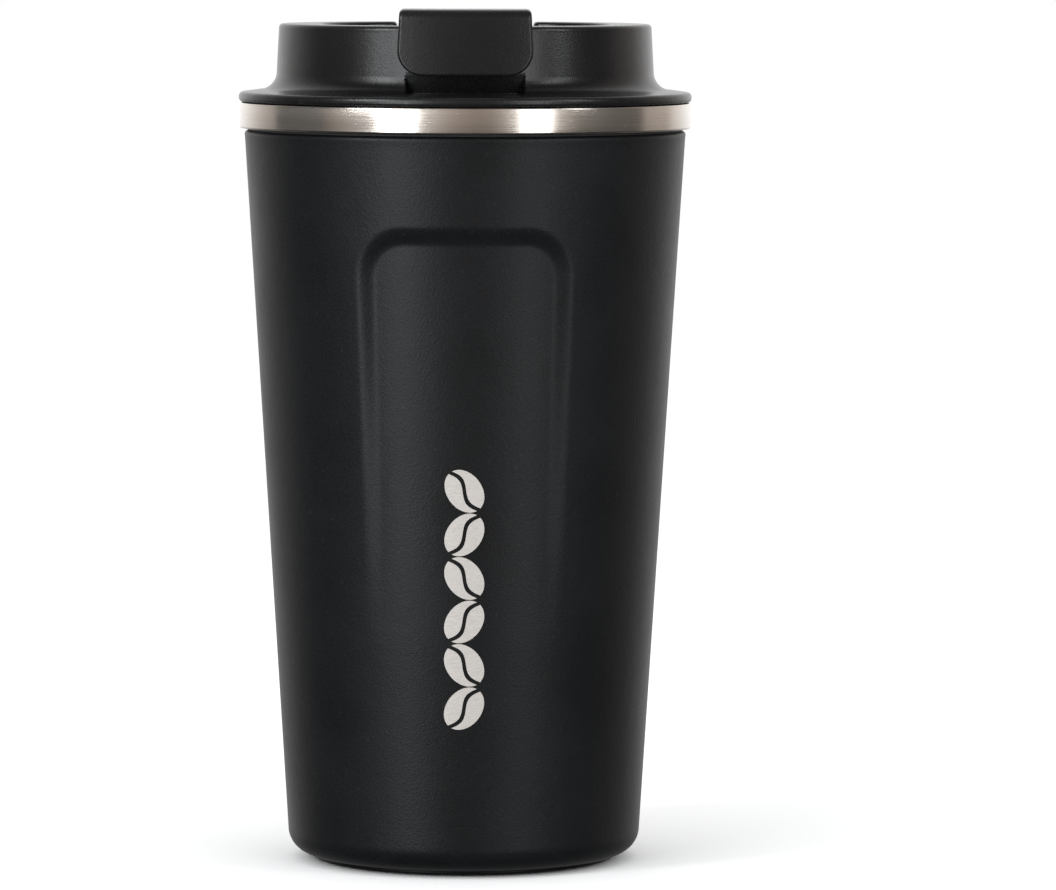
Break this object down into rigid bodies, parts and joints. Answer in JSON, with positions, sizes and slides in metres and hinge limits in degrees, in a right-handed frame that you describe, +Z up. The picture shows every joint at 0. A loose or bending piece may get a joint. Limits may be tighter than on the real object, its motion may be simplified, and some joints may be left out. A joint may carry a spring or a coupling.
{
  "type": "insulated travel mug",
  "caption": "Tapered double-wall steel travel mug in a black case, with a push-in lid and a flip-open drinking flap.",
  "frame": {"origin": "centre of the mug's resting plane, at the bottom of the non-slip ring", "axes": "+Z up along the mug's centre line; -Y towards the drinking side and the thumb tab; +X to the right seen from the front"},
  "size_m": [0.0902, 0.0902, 0.1704],
  "materials": {
    "case_black": "matte black soft-touch coat with a fine mottle",
    "lid_black": "satin black moulded plastic with a fine grain",
    "core_black": "smooth black moulded plastic",
    "foot_black": "smoother black moulded plastic",
    "band_steel": "stainless steel brushed round the mug",
    "liner_steel": "satin stainless steel",
    "foil_copper": "thin copper foil",
    "getter_metal": "dull grey metal",
    "spacer_foam": "dark closed-cell foam",
    "black_rubber": "matte black rubber",
    "grey_silicone": "grey translucent silicone"
  },
  "bodies": {
    "mug": {"case_shell": "case_black", "case_seal_ring": "black_rubber", "vacuum_wall": "band_steel", "inner_liner": "liner_steel", "radiant_foil": "foil_copper", "flask_bottom": "band_steel", "getter": "getter_metal", "seal_bead": "getter_metal", "bottom_spacer": "spacer_foam", "base_cap": "foot_black", "base_pad": "black_rubber"},
    "lid": {"lid_cover": "lid_black", "lid_core": "core_black", "lid_floor": "core_black", "deck_plate": "lid_black", "notch_pad": "core_black", "main_gasket": "grey_silicone", "hinge_pin": "liner_steel"},
    "flap": {"flap": "lid_black", "drink_seal": "grey_silicone", "vent_seal": "grey_silicone"}
  },
  "joints": [
    {"name": "lid_lift", "type": "slide", "parent": "mug", "child": "lid", "axis": [0, 0, 1], "range_m": [0, 0.06]},
    {"name": "flap_hinge", "type": "hinge", "parent": "lid", "child": "flap", "pos_m": [0, 0, 0.1631], "axis": [-1, 0, 0], "range_deg": [0, 160]}
  ]
}
